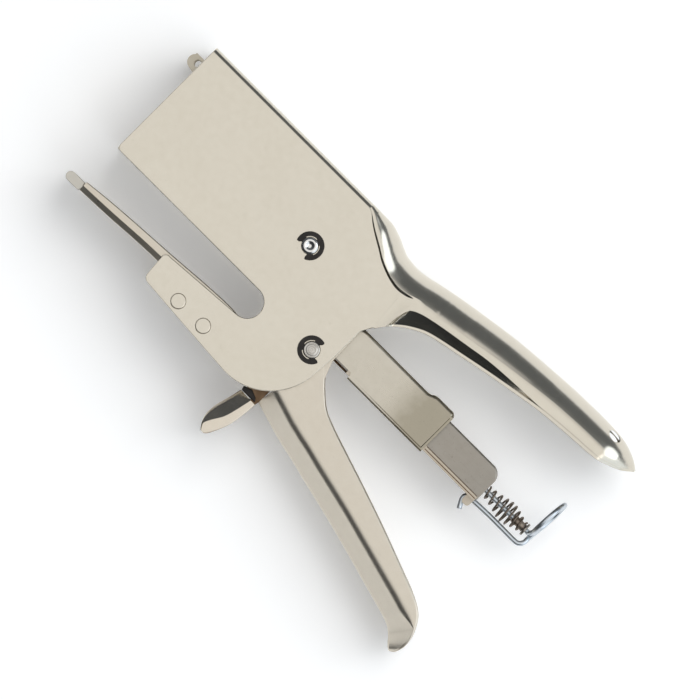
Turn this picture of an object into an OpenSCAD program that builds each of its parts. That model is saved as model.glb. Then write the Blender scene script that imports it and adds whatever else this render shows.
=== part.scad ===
// Plier stapler, lying on its side. Lengths are in millimetres and angles in degrees.
// The parts are drawn about the centre of the handle pin, on the tool's middle plane:
// X runs back along the magazine to the grips, Y up to the spine of the head, Z across the tool.
// place() then moves the origin to the middle of the outline, at the level of the lower side.

/* [Head] */
// Outer width of the head, across the two plates
head_w = 22.2; // [22:0.1:23]
// Sheet thickness of the head and the fixed handle
plate_t = 1.2; // [1:0.1:1.3]
// Outer radius of the bend along the spine
bend_r = 1.6; // [1.3:0.1:2]
// Length of the jaw in front of the handle pin
jaw_len = 81.1; // [80.8:0.1:82]
// Height of the spine above the handle pin
spine_y = 42.4; // [42:0.1:43]
// Height of the throat where the paper goes in
throat_h = 9.6; // [9:0.1:10]

/* [Handles] */
// Greatest width across the fixed handle
grip_w = 25.2; // [24.8:0.1:26]
// Outer width of the lower handle
lower_w = 19.4; // [19.2:0.1:19.6]
// Sheet thickness of the lower handle
lower_t = 1; // [0.8:0.1:1]
// Radius of the two holes in the shoulders of the fixed handle's tip
punch_r = 2.1; // [1.6:0.1:2.2]
// Swing of the lower handle when it is squeezed
squeeze = 30; // [20:1:30]
// Swing of the driver lever for each degree of the handle
lever_ratio = 0.8; // [0.7:0.05:0.8]

/* [Magazine] */
// Outer width of the magazine cover
cover_w = 14.6; // [14.4:0.1:14.8]
// Sheet thickness of the cover
cover_t = 0.6; // [0.5:0.1:0.7]
// Height of the cover's top
cover_y = 15.1; // [14.9:0.1:15.3]
// Outer width of the staple rail
rail_w = 11.5; // [11:0.1:11.6]
// Height of the rail's top
rail_y = 13.7; // [13.4:0.1:13.7]
// Rear end of the rail, behind the handle pin
rail_end = 64.4; // [63:0.1:66]

/* [Wire and springs] */
// Diameter of the latch wire
wire_d = 1.6; // [1.4:0.1:1.7]
// Diameter of the pins' shanks
pin_d = 4.8; // [4.4:0.1:4.8]
// Radial clearance of the pins in their holes
pin_gap = 0.05; // [0.02:0.01:0.1]

/* [Hidden] */
$fn = 48;
half = head_w / 2;
inner = half - plate_t;
grip = grip_w / 2;
pin_r = pin_d / 2;
hole_r = pin_r + pin_gap;
lever_pin_at = [-21.6, 20.9];
handle_pin_at = [0, 0];
mid_x = 2.35;                     // middle of the outline's length
mid_y = 0.05;                     // middle of the outline's height
throat_c = [-23, 1.5 - throat_h / 2];
lower_half = lower_w / 2;
lever_out = 8.5;                  // driver lever's flanges, half-width outside
lever_t = 1;
lever_top = 37.3;
stud_at = [2, 12];                // drive studs at rest
stud_r = 1.8;
cover_half = cover_w / 2;
cover_in = cover_half - cover_t;
rail_half = rail_w / 2;
rail_t = 0.7;
rail_low = 3;
rail_front = -79.1;
blade_x = -80.1;                  // front face of the driver blade
blade_t = 0.8;
rod_y = 6.9;
wire_r = wire_d / 2;
clip_z = half + 0.15;
clip_t = 0.8;
punch_at = [79.7, 39.6, 3.85];    // middle of the shoulder's bend

// ---- helpers ----
function unit(v) = v / norm(v);
function turn(p, a) = [p.x * cos(a) - p.y * sin(a), p.x * sin(a) + p.y * cos(a)];
function arc(c, r, a0, a1, n = 8) =
  [for (i = [0:n]) let (a = a0 + (a1 - a0) * i / n) c + r * [cos(a), sin(a)]];
// Smooth curve through the rows of p, with n steps from each row to the next
function smooth(p, n) = [for (i = [0:len(p) - 2], k = [0:n - 1])
  let (t = k / n, a = p[max(i - 1, 0)], b = p[i], c = p[i + 1], d = p[min(i + 2, len(p) - 1)])
  b + (c - a) * t / 2 + (2 * a - 5 * b + 4 * c - d) * t * t / 2
    + (3 * b - a - 3 * c + d) * t * t * t / 2, p[len(p) - 1]];

module place() translate([-mid_x, -mid_y, grip]) children();
// The same flat piece on both sides of the middle plane, from z outwards by t
module pair(z, t) for (s = [0, 1]) mirror([0, 0, s]) translate([0, 0, z]) linear_extrude(t) children();
module across(w) linear_extrude(2 * w, center = true) children();
module shaft(at, r, z0, z1) translate([at.x, at.y, z0]) cylinder(h = z1 - z0, r = r);
module along_x(x0, x1, y, z, r) translate([x0, y, z]) rotate([0, 90, 0]) cylinder(h = x1 - x0, r = r);
module block(lo, hi) translate(lo) cube(hi - lo);

// Section of a formed channel. s is [outer x, outer y, edge x, edge y, half-width]; the spine is on
// the outer side and rounded, the edge side is open.
corner_n = 4;
function channel_side(w, h, r) = concat([[-w, 0]],
  [for (i = [0:corner_n]) let (a = 180 - 90 * i / corner_n) [-w + r + r * cos(a), h - r + r * sin(a)]],
  [for (i = [0:corner_n]) let (a = 90 - 90 * i / corner_n) [w - r + r * cos(a), h - r + r * sin(a)]],
  [[w, 0]]);
function channel_ring(s, t, t_side, r_max) = let (
    o = [s[0], s[1]], e = [s[2], s[3]], w = min(s[4], grip), h = norm(o - e), up = unit(o - e),
    r = min(r_max, 0.62 * h, 0.9 * w), wi = max(w - t_side, 0.45 * w), hi = max(h - t, 0.3 * h),
    ri = min(max(r - t, 0.3), 0.8 * hi, 0.8 * wi),
    out = channel_side(w, h, r), inn = channel_side(wi, hi, ri), m = len(out))
  [for (q = concat(out, [for (i = [0:m - 1]) inn[m - 1 - i]])) [e.x + up.x * q[1], e.y + up.y * q[1], q[0]]];
// Closed shell through a list of such rings, all with the same number of points
module shell(rings, flip = false) {
  m = len(rings[0]);
  n = len(rings);
  sides = [for (j = [0:n - 2], i = [0:m - 1]) let (a = j * m + i, b = j * m + (i + 1) % m)
    each [[a, b, b + m], [a, b + m, a + m]]];
  cap = [for (i = [0:m / 2 - 2]) let (c = m - 1 - i) each [[i, c, c - 1], [i, c - 1, i + 1]]];
  top = [for (f = cap) [for (k = [2, 1, 0]) f[k] + (n - 1) * m]];
  faces = concat(sides, cap, top);
  polyhedron([for (r = rings) each r], flip ? [for (f = faces) [f[2], f[1], f[0]]] : faces);
}
// Round wire of radius r along the points p
function tangents(p) = [for (i = [0:len(p) - 1]) unit(p[min(i + 1, len(p) - 1)] - p[max(i - 1, 0)])];
module wire(p, r, sides = 8, start = [0, 0, 1]) {
  t = tangents(p);
  n = len(p);
  u = [for (i = 0, v = unit(start - (start * t[0]) * t[0]); i < n;
    i = i + 1, v = i < n ? unit(v - (v * t[i]) * t[i]) : v) v];
  points = [for (i = [0:n - 1], k = [0:sides - 1]) let (a = 360 * k / sides)
    p[i] + r * (cos(a) * u[i] + sin(a) * cross(t[i], u[i]))];
  skin = [for (i = [0:n - 2], k = [0:sides - 1])
    let (a = i * sides + k, b = i * sides + (k + 1) % sides)
    each [[a, b + sides, b], [a, a + sides, b + sides]]];
  polyhedron(points, concat(skin, [[for (k = [0:sides - 1]) k]],
    [[for (k = [sides - 1:-1:0]) (n - 1) * sides + k]]));
}

// ---- frame ----
module head_outline() polygon(concat(
  [[-jaw_len, spine_y]], arc([-jaw_len + 1.5, 3], 1.5, 180, 270, 4),
  arc(throat_c, throat_h / 2, 90, -90, 16),
  [[-47.6, -9.9]], arc([-48.2, -11.4], 1.5, 80, 180, 4),
  arc([-47.2, -17.8], 2, 182, 266, 4), [[-30, -21.1]],
  arc([-13, -3.7], 18.5, -92, -4, 16), [[6, 3]],
  smooth([[6.1, 13.5], [8, 17], [12.5, 22], [21, 26.9]], 4),
  [[22, 34], [4, 35], [-9, 39.5], [-13.5, 42.3], [-14, spine_y]]));
module u_section() difference() {
  union() {
    translate([-half, -30]) square([head_w, 30 + spine_y - bend_r]);
    translate([-half + bend_r, 0]) square([head_w - 2 * bend_r, spine_y]);
    for (s = [-1, 1]) translate([s * (half - bend_r), spine_y - bend_r]) circle(bend_r);
  }
  translate([-inner, -31]) square([2 * inner, 31 + spine_y - plate_t]);
}
// Rows: outer x, outer y, edge x, edge y, half-width
fixed_rows = [[-15.5, 42.3, -15.5, 40.2, half - 0.1], [-10, 42.6, -10, 36.7, half + 0.6],
  [-4, 40.7, -4, 33.2, grip - 0.3], [3, 38.4, 3, 31, grip], [10, 39, 10, 31.6, grip],
  [15, 40.2, 15, 30.6, grip], [20, 41.1, 20, 26.5, grip], [30, 42.7, 30, 28.7, grip],
  [45, 44.6, 45, 31.6, grip - 0.3], [60, 45.7, 60, 34.1, grip - 0.8], [72, 46, 72, 35.1, grip - 1.5],
  [80, 45.8, 80, 35.8, grip - 2.6], [86, 44.4, 86, 37.4, grip - 5], [89.5, 42.6, 89.5, 39.6, grip - 8],
  [91, 41.6, 91, 40.8, grip - 10.5]];
module frame_shell() place() color("#d3cdbf") difference() {
  union() {
    intersection() {
      translate([24, 0, 0]) rotate([0, -90, 0]) linear_extrude(jaw_len + 25) u_section();
      across(half + 1) head_outline();
    }
    rows = smooth(fixed_rows, 2);
    shell([for (s = rows) let (root = max(0, min(1, (32 - s[0]) / 10)))
      channel_ring(s, plate_t, plate_t + root * (s[4] - inner - 0.5 - plate_t), 7)], true);
  }
  for (at = [lever_pin_at, handle_pin_at]) shaft(at, hole_r, -half - 1, half + 1);
  // punched square to the bent shoulders
  for (s = [0, 1]) mirror([0, 0, s]) translate(punch_at) rotate([-45, 0, 0]) translate([0, 0, 2])
    cylinder(h = 6, r = punch_r);
  for (x = rivet_x) shaft([x, rivet_y], rivet_r, -half - 1, half + 1);
}

// ---- anvil ----
rivet_x = [-37.2, -27.1];
rivet_y = -17.3;
rivet_r = 2.2;
arm_half = inner - 0.05;
arm_t = 1.4;
arm_front = -80.2;
module arm_outline() polygon(concat([[arm_front, -11.6], [-70, -10.6], [-50, -9.4], [-24, -8.15], [-21, -9]],
  [[-21, -19.5], [-24, -20.6], [-44, -19.2], [-48, -14], [-52, -13.4], [-70, -14.4], [arm_front, -14.6]]));
module anvil_arm() place() color("#c9c3b4") difference() {
  across(arm_half) arm_outline();
  difference() {
    across(arm_half - arm_t) translate([0, -arm_t]) arm_outline();
    block([-24.5, -30, -inner], [-20, 0, inner]);
  }
  block([arm_front - 1, -30, -arm_half + arm_t], [-24.4, -14, arm_half - arm_t]);
  // the clinch grooves, one for each leg
  for (s = [-1, 1]) translate([-78.9, -10.9, s * 3.6]) cube([1.4, 1.8, 6], center = true);
  for (x = rivet_x) shaft([x, rivet_y], rivet_r, -half, half);
}
module anvil_plate() place() color("#b8b2a4") across(arm_half - arm_t - 0.05) polygon(concat(
  [[-66, -13.2], [-80.3, -13.2], [-80.4, -12.2], [-84.8, -12.2]], arc([-84.8, -13.7], 1.5, 90, 270, 6),
  [[-66, -15.2]]));
module anvil_rivets() place() color("#d3cdbf") for (x = rivet_x)
  shaft([x, rivet_y], rivet_r, -half - 0.1, half + 0.1);

// ---- pins and clips ----
module pivot_pin(at) color("#c4c0b6") difference() {
  union() {
    shaft(at, pin_r, -half - 0.1, grip);
    shaft(at, 3.6, -grip, -half - 0.05);
  }
  translate([at.x, at.y, clip_z - 0.05]) difference() {
    cylinder(h = clip_t + 0.1, r = pin_r + 1);
    translate([0, 0, -1]) cylinder(h = clip_t + 3, r = pin_r - 0.7);
  }
}
module lever_pin() place() pivot_pin(lever_pin_at);
module handle_pin() place() pivot_pin(handle_pin_at);
// Snap ring with three lugs, open towards angle a
module clip(at, a) translate([at.x, at.y, clip_z]) rotate([0, 0, a]) linear_extrude(clip_t)
  difference() {
    union() {
      difference() { circle(4.2); circle(2.85); }
      for (b = [68, 180, -68]) rotate(b) translate([pin_r - 0.65, -0.9]) square([1.9, 1.8]);
    }
    polygon([[0, 0], each arc([0, 0], 8, -46, 46, 6)]);
  }
module retaining_clips() place() color("#1c1b1a") {
  clip(lever_pin_at, 246);
  clip(handle_pin_at, 25);
}

// ---- lower handle ----
lower_rows = [[0.4, -21.9, 5.2, -0.6, lower_half - 0.1], [6, -23.6, 8.4, -2.6, lower_half - 0.1],
  [15, -26, 15.6, -9.4, lower_half - 0.1], [25, -28.4, 25.6, -13.1, lower_half - 0.1],
  [38, -31.5, 38.8, -17.4, lower_half - 0.1], [50, -34.7, 51, -21.6, lower_half - 0.1],
  [60, -37.5, 62.5, -25.9, lower_half - 0.1], [67, -39.4, 71, -29.2, lower_half - 0.3],
  [71.6, -41, 76, -32.3, lower_half - 0.9], [74.2, -43, 78.9, -37, lower_half - 2.2],
  [75.6, -44.6, 79.7, -41, lower_half - 4], [76.6, -45.6, 79.3, -43.6, lower_half - 6],
  [77.4, -45.9, 78.6, -45.2, lower_half - 7.6]];
module lower_handle() place() color("#d0c8b9") difference() {
  union() {
    pair(lower_half - lower_t, lower_t) {
      circle(6);
      translate(stud_at) circle(4.2);
      polygon([[-6, 0], stud_at + [-4.2, 0.5], stud_at + [4.2, 0], [6.6, 2], [9, -3.4], [9, -18],
        [1.5, -17], [-5.4, -16], [-6, -8]]);
    }
    shell([for (s = smooth(lower_rows, 2)) channel_ring(s, lower_t, lower_t, 5)]);
  }
  shaft(handle_pin_at, hole_r, -half, half);
  shaft(stud_at, stud_r, -half, half);
}
spur_rows = [[-6.4, -22.8, -0.3, -22.8, 7], [-7.5, -27, -0.6, -27, 7.2], [-8.5, -31, -1.3, -31.5, 7],
  [-8.7, -34.5, -2.5, -35, 6], [-7.9, -37.2, -3.8, -37.7, 4.2], [-6.6, -38.9, -5, -39, 2]];
module finger_rest() place() color("#cdc5b6") union() {
  pair(lower_half - lower_t - 1.15, 1.1) polygon([[-5.6, -24.4], [-0.9, -24.4], [-0.4, -10], [-4.6, -10]]);
  across(lower_half - lower_t - 0.2) polygon([[-5.6, -24.4], [-4.4, -24.4], [-4.2, -22.6], [-5.6, -22.6]]);
  shell([for (s = smooth(spur_rows, 2)) channel_ring(s, 1.1, 1.1, 4)]);
}
module drive_studs() place() color("#b9b5ab") for (s = [0, 1]) mirror([0, 0, s]) {
  shaft(stud_at, stud_r - 0.05, cover_half + 0.2, inner - 0.15);
}

// ---- driver ----
// The studs' path in the lever, from rest to the full squeeze
stud_path = [for (i = [0:12]) let (a = squeeze * i / 12)
  lever_pin_at + turn(turn(stud_at, a) - lever_pin_at, -lever_ratio * a)];
module stud_slot(r) {
  t = [for (i = [0:12]) unit(stud_path[min(i + 1, 12)] - stud_path[max(i - 1, 0)])];
  polygon(concat([for (i = [0:12]) stud_path[i] + r * [-t[i].y, t[i].x]],
    [for (i = [12:-1:0]) stud_path[i] - r * [-t[i].y, t[i].x]]));
  for (p = [stud_path[0], stud_path[12]]) translate(p) circle(r);
}
eye_at = [-82.7, 35];
module lever_outline() difference() {
  union() {
    translate(eye_at) circle(2.3);
    polygon([[-82.7, lever_top], [-26, lever_top], [-20, 34], [-12, 24], [4.4, 15.4], [6, 11],
      [4, 8], [-9.4, 1.6], [-13.4, 4], [-15.4, 12], [-27, 17.5], [-60, 28.5], [-82.7, 32.7]]);
    translate(lever_pin_at) circle(6);
  }
  translate([-81.7, 35.3]) circle(1.2);
  stud_slot(stud_r + 0.15);
}
module driver_lever() place() color("#beb8aa") difference() {
  union() {
    pair(lever_out - lever_t, lever_t) lever_outline();
    difference() {
      block([-84.2, lever_top - 1, -lever_out + 0.5], [-26, lever_top, lever_out - 0.5]);
      block([-82.4, 30, -3], [-78.7, 40, 3]);
    }
  }
  shaft(lever_pin_at, hole_r, -half, half);
}
module lever_bush() place() color("#8f8a80") difference() {
  shaft(lever_pin_at, 3.2, -lever_out + lever_t + 0.1, lever_out - lever_t - 0.1);
  shaft(lever_pin_at, hole_r, -half, half);
}
// Torsion spring on the bush: one leg under the lever's web, one leg up towards the spine
module return_spring() place() color("#6d6a66") {
  r = 4.1;
  turns = 4;
  coil = [for (i = [0:turns * 14 + 5]) let (a = -120 + 360 * i / 14)
    [lever_pin_at.x + r * cos(a), lever_pin_at.y + r * sin(a), -4 + 1.7 * i / 14]];
  last = coil[len(coil) - 1];
  wire(concat([[-40, 34.2, -4], [-32, 25.3, -4]], coil, [last + [4.5, 9, 0.4], last + [5.5, 15, 0.4]]), 0.65, 6);
}
// Flat blade with a T-shaped neck that hangs in the lever's web
module driver_blade() place() color("#a8a49a") {
  block([blade_x, 14.8, -6.3], [blade_x + blade_t, lever_top - 1.55, 6.3]);
  block([blade_x, lever_top - 1.6, -2.8], [blade_x + blade_t, lever_top + 0.6, 2.8]);
  block([blade_x, lever_top + 0.55, -4.4], [blade_x + blade_t, lever_top + 1.6, 4.4]);
}

// ---- magazine ----
cover_end = 43;
module cover_outline() polygon(concat(
  [[-80.2, 1.5], [-80.2, cover_y], [33, cover_y], [35.5, cover_y + 1.1], [41.6, cover_y + 1.1],
    [cover_end, cover_y - 0.2], [cover_end, 1.3], [13, 1.3], [13, 3.4], [11.8, 3.4], [11.8, 1.5]],
  arc(handle_pin_at, 5.2, 16, -196, 18)));
module magazine_cover() place() color("#bdb5a6") difference() {
  across(cover_half) cover_outline();
  difference() {
    across(cover_in) translate([0, -cover_t]) square([400, 2 * cover_y], center = true);
    for (s = [-1, 1]) block([-76, 1.5, s > 0 ? 4.8 : -cover_in - 1], [-5.5, 2.2, s > 0 ? cover_in + 1 : -4.8]);
  }
  across(cover_in) polygon([[34, 10], [34, cover_y - cover_t], [35.7, cover_y + 1.1 - cover_t],
    [41.5, cover_y + 1.1 - cover_t], [50, cover_y - 1], [50, 10]]);
  block([-81, 3, -cover_in], [rail_front + 0.1, cover_y + 1, cover_in]);
  block([6.5, 2.2, -cover_half - 1], [11.5, 3.2, cover_half + 1]);
  shaft(handle_pin_at, hole_r, -half, half);
}
module magazine_base() place() color("#c2b59d") {
  difference() {
    block([4.5, 2.2, -cover_in + 0.05], [64, 3.9, cover_in - 0.05]);
    block([4, 2.9, -rail_half - 0.15], [65, 5, rail_half + 0.15]);
    block([56, 0, -wire_r - 0.35], [65, 4, wire_r + 0.25]);
  }
  // the lug that the latch wire catches behind
  translate([0, 0, wire_r + 0.3]) linear_extrude(0.9) polygon(concat([[64, 2.5]],
    arc([63, 0.6], 1, 0, -90, 4), arc([62.3, 0.6], 1, -90, -180, 4), [[61.3, 2.5]]));
}
module nose_plate() place() color("#c8c2b4") block([-81, 1.5, -cover_half], [-80.25, cover_y, cover_half]);
module pivot_washers() place() color("#8f8a80") pair(cover_half + 0.1, lower_half - lower_t - cover_half - 0.2)
  difference() { circle(4.4); circle(hole_r); }
// Round compression spring: n turns of wire d on the radius r, from x0 to x1 along X
function spring_x(x0, x1, r, n, steps, y, bulge = 0) = [for (i = [0:n * steps])
  let (t = i / (n * steps), a = 360 * i / steps, q = r + bulge * pow(sin(180 * t), 1.5))
  [x0 + (x1 - x0) * t, y + q * cos(a), q * sin(a)]];
module clamp_spring() place() color("#6d6a66") translate([-55, cover_y + 0.5, 0]) rotate([0, 0, 90])
  wire(spring_x(0, lever_top - cover_y - 2.1, 4, 7, 12, 0), 0.5, 6, [0, 1, 0]);

// ---- feed unit ----
slot_half = 1;
module staple_rail() place() color("#b9b1a2") {
  difference() {
    across(rail_half) polygon(concat([[rail_front, rail_low], [rail_front, rail_y]],
      arc([rail_end - 3.4, rail_y - 3.4], 3.4, 90, 0, 6), [[rail_end, rail_low]]));
    block([rail_front - 1, -1, -rail_half + rail_t], [rail_end - rail_t, rail_y - rail_t, rail_half - rail_t]);
    block([-74, 5, -slot_half], [46, rail_y + 1, slot_half]);
    along_x(60, 70, rod_y, 0, wire_r + 0.1);
    block([63, 2, -wire_r - 0.35], [65, 3.6, wire_r + 0.35]);
  }
  difference() {
    block([50, rail_low, -rail_half + 0.3], [50.8, rail_y - 0.3, rail_half - 0.3]);
    along_x(45, 60, rod_y, 0, wire_r + 0.1);
  }
}
pusher_x = -78.6;
pusher_len = 16;
module pusher() place() color("#8e887c") {
  difference() {
    block([pusher_x, 6, -6.5], [pusher_x + pusher_len, cover_y - cover_t - 0.1, 6.5]);
    block([pusher_x - 1, 5, -rail_half - 0.1], [pusher_x + pusher_len + 1, rail_y + 0.1, rail_half + 0.1]);
  }
  block([pusher_x + 5, 4, -slot_half + 0.2], [pusher_x + pusher_len, rail_y + 0.3, slot_half - 0.2]);
  block([pusher_x + 5, 3.6, -4.6], [pusher_x + pusher_len, rail_y - rail_t - 0.3, 4.6]);
}
module pusher_spring() place() color("#7d756c")
  wire(spring_x(pusher_x + pusher_len + 0.4, 49.5, 3.5, 34, 9, 8), 0.35, 5, [0, 1, 0]);
loop_c = 13.6;
loop_r = 6.4;
latch_path = concat([for (x = [54, 62, 70, 76, 80.9, 82]) [x, rod_y, 0]],
  [for (a = [-60:20:240]) [82.6 + 1.5 * (loop_c + loop_r * sin(a)) / 20, loop_c + loop_r * sin(a), loop_r * cos(a)]],
  [[83, 5.6, -1], [82.9, 4, -0.2], [82.2, 2.9, 0], [80.8, 2.4, 0], [76, 2.4, 0], [70, 2.4, 0], [64.4, 2.2, 0]],
  [for (a = [80:20:260]) [62.6 + 2.2 * cos(a), -0.4 + 2.2 * sin(a), 0]]);
module latch_wire() place() color("#b4bcc4") wire(smooth(latch_path, 2), wire_r, 8, [0, 1, 0]);
module latch_spring() place() color("#6f655d")
  wire(spring_x(rail_end + 0.35, 79.7, 1.75, 9, 12, rod_y, 1.3), 0.3, 6, [0, 1, 0]);
module latch_sleeve() place() color("#8a7a6c") difference() {
  along_x(75.6, 80.05, rod_y, 0, 1.3);
  along_x(70, 90, rod_y, 0, wire_r + 0.05);
}
module latch_collar() place() color("#a49a8c") difference() {
  along_x(80.1, 80.85, rod_y, 0, 2.1);
  along_x(70, 90, rod_y, 0, wire_r + 0.05);
}

frame_shell();
anvil_arm();
anvil_plate();
anvil_rivets();
lever_pin();
handle_pin();
retaining_clips();
lower_handle();
finger_rest();
drive_studs();
driver_lever();
lever_bush();
return_spring();
driver_blade();
magazine_cover();
magazine_base();
nose_plate();
pivot_washers();
clamp_spring();
staple_rail();
pusher();
pusher_spring();
latch_wire();
latch_spring();
latch_sleeve();
latch_collar();
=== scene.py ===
import math

import bmesh
import bpy
from mathutils import Matrix, Vector


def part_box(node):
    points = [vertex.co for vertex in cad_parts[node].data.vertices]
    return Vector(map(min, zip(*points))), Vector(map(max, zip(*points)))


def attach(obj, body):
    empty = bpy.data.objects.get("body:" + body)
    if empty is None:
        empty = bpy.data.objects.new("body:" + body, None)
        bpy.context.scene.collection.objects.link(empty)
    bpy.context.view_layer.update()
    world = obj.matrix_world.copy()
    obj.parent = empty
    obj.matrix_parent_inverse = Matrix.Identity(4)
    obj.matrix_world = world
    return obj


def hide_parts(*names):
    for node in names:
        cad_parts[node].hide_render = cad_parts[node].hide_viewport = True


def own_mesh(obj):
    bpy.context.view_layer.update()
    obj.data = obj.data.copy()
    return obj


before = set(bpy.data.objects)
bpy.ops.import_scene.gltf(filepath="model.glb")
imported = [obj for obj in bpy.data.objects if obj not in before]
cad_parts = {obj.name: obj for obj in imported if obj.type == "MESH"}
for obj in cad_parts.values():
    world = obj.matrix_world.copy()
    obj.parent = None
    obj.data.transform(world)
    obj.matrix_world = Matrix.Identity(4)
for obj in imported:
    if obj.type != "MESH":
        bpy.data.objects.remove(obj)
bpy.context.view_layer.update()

# Shapes below are in millimetres, with the handle pin's axis as origin and the middle plane at z = 0.
pin_lo, pin_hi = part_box("handle_pin")
sheet_lo, sheet_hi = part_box("frame_shell")
ORIGIN = Vector(((pin_lo.x + pin_hi.x) / 2, (pin_lo.y + pin_hi.y) / 2, (sheet_lo.z + sheet_hi.z) / 2))
PLACE = Matrix.Translation(ORIGIN) @ Matrix.Scale(0.001, 4)

# Axes across the tool (x, y) and the holes round them
HANDLE_PIN, LEVER_PIN, PIN_HOLE = (0, 0), (-21.6, 20.9), 2.45
RIVETS, RIVET_HOLE = ((-37.2, -17.3), (-27.1, -17.3)), 2.2
STUD, STUD_HOLE = (2, 12), 1.8

# Half-widths across the tool, outside and inside
HALF, INNER = 11.1, 9.9
ARM_HALF, ARM_IN = 9.85, 8.45
COVER_HALF, COVER_IN = 7.3, 6.7
RAIL_HALF, RAIL_IN = 5.75, 5.05
LOWER_HALF = 9.7
CHEEK_OUT, CHEEK_IN = 9.66, 8.74
SHEET = 1.2

# Latch: height of the rod's axis, radius of the wire, middle and radius of the finger loop
ROD_Y, WIRE_R = 6.9, 0.8
LOOP_Y, LOOP_R = 13.6, 6.4


# ---------------------------------------------------------------- curves
def spline(rows, n):
    """Smooth curve through rows, with n steps from each row to the next."""
    rows = [Vector(r) for r in rows]
    out = []
    for i in range(len(rows) - 1):
        a, b, c, d = rows[max(i - 1, 0)], rows[i], rows[i + 1], rows[min(i + 2, len(rows) - 1)]
        for k in range(n):
            t = k / n
            out.append(b + (c - a) * (t / 2) + (2 * a - 5 * b + 4 * c - d) * (t * t / 2)
                       + (3 * b - a - 3 * c + d) * (t**3 / 2))
    return out + [rows[-1]]


def along(table):
    """Smooth function through (x, value) rows that doesn't overshoot."""
    xs = [r[0] for r in table]
    vs = [r[1] for r in table]
    slopes = [(vs[i + 1] - vs[i]) / (xs[i + 1] - xs[i]) for i in range(len(xs) - 1)]
    tangents = [slopes[0]]
    for a, b in zip(slopes, slopes[1:]):
        tangents.append(0 if a * b <= 0 else 2 * a * b / (a + b))
    tangents.append(slopes[-1])

    def value(x):
        x = min(max(x, xs[0]), xs[-1])
        i = max(k for k in range(len(xs) - 1) if xs[k] <= x or k == 0)
        h = xs[i + 1] - xs[i]
        t = (x - xs[i]) / h
        return ((1 + 2 * t) * (1 - t) ** 2 * vs[i] + t * (1 - t) ** 2 * h * tangents[i]
                + t * t * (3 - 2 * t) * vs[i + 1] + t * t * (t - 1) * h * tangents[i + 1])

    return value


def arc(c, r, a0, a1, n=8):
    return [(c[0] + r * math.cos(math.radians(a0 + (a1 - a0) * i / n)),
             c[1] + r * math.sin(math.radians(a0 + (a1 - a0) * i / n))) for i in range(n + 1)]


def circle(c, r, n):
    return arc(c, r, 0, 360 * (n - 1) / n, n - 1)


def step(x, a, b):
    """0 up to a, 1 from b on, and smooth between."""
    t = min(max((x - a) / (b - a), 0), 1)
    return t * t * (3 - 2 * t)


# ---------------------------------------------------------------- meshes
def new_object(name, mesh):
    obj = bpy.data.objects.new(name, mesh)
    bpy.context.scene.collection.objects.link(obj)
    return obj


def from_faces(name, verts, faces):
    mesh = bpy.data.meshes.new(name)
    mesh.from_pydata([tuple(v) for v in verts], [], faces)
    return new_object(name, mesh)


def bake(obj):
    """Applies the modifiers."""
    graph = bpy.context.evaluated_depsgraph_get()
    mesh = bpy.data.meshes.new_from_object(obj.evaluated_get(graph), preserve_all_data_layers=True,
                                           depsgraph=graph)
    mesh.name = obj.name
    obj.modifiers.clear()
    obj.data = mesh
    return obj


def soften(obj, width, segments=3, angle=50, smooth=38, profile=0.5):
    """Rounds the sharp edges by width and keeps the flat faces flat in shading."""
    if width:
        m = obj.modifiers.new("edges", "BEVEL")
        m.width, m.segments, m.limit_method, m.angle_limit = width, segments, "ANGLE", math.radians(angle)
        m.use_clamp_overlap, m.miter_outer, m.profile = True, "MITER_ARC", profile
    bake(obj)
    obj.data.shade_smooth()
    obj.data.set_sharp_from_angle(angle=math.radians(smooth))
    m = obj.modifiers.new("normals", "WEIGHTED_NORMAL")
    m.keep_sharp, m.weight = True, 60
    return bake(obj)


def place(obj):
    """From millimetres round the handle pin to metres in the CAD's frame."""
    obj.data.transform(PLACE)
    return obj


def outward(obj, merge=0.0):
    """Turns the faces outwards, after merging points closer than merge."""
    bm = bmesh.new()
    bm.from_mesh(obj.data)
    if merge:
        bmesh.ops.remove_doubles(bm, verts=bm.verts, dist=merge)
    bmesh.ops.recalc_face_normals(bm, faces=bm.faces)
    bm.to_mesh(obj.data)
    bm.free()
    return obj


def roll(obj, test, radius, segments=6):
    """Rounds to radius the edges of a prism's two outlines whose middles pass the test."""
    bm = bmesh.new()
    bm.from_mesh(obj.data)
    chosen = [e for e in bm.edges if abs(e.verts[0].co.z - e.verts[1].co.z) < 0.01
              and test((e.verts[0].co + e.verts[1].co) / 2)]
    bmesh.ops.bevel(bm, geom=chosen, offset=radius, segments=segments, profile=0.5, affect="EDGES")
    bm.to_mesh(obj.data)
    bm.free()
    return obj


def prism(name, outline, z0, z1):
    """Solid with the outline (x, y) from z0 to z1."""
    n = len(outline)
    verts = [(x, y, z) for z in (z0, z1) for x, y in outline]
    sides = [(i, (i + 1) % n, (i + 1) % n + n, i + n) for i in range(n)]
    return outward(from_faces(name, verts, sides + [tuple(range(n - 1, -1, -1)), tuple(range(n, 2 * n))]))


def cut(obj, other):
    m = obj.modifiers.new("cut", "BOOLEAN")
    m.operation, m.object, m.solver = "DIFFERENCE", other, "EXACT"
    bake(obj)
    bpy.data.objects.remove(other)
    return obj


def groove(obj, a, b, half, z, depth):
    """Scores a V-shaped line from a to b, 2 * half wide, in the faces at z and -z of a placed piece."""
    a, b = Vector((*a, 0)), Vector((*b, 0))
    n = Vector((a.y - b.y, b.x - a.x, 0)).normalized() * half
    for side in (1, -1):
        above, bottom = Vector((0, 0, side * (z + 0.05))), Vector((0, 0, side * (z - depth)))
        rings = [[p + n + above, p - n + above, p + bottom] for p in (a, b)]
        obj = cut(obj, place(solid("groove", rings)))
    return obj


def drill(obj, x, y, r):
    """Round hole right across the tool."""
    return cut(obj, prism("drill", circle((x, y), r, 48), -20, 20))


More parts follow.
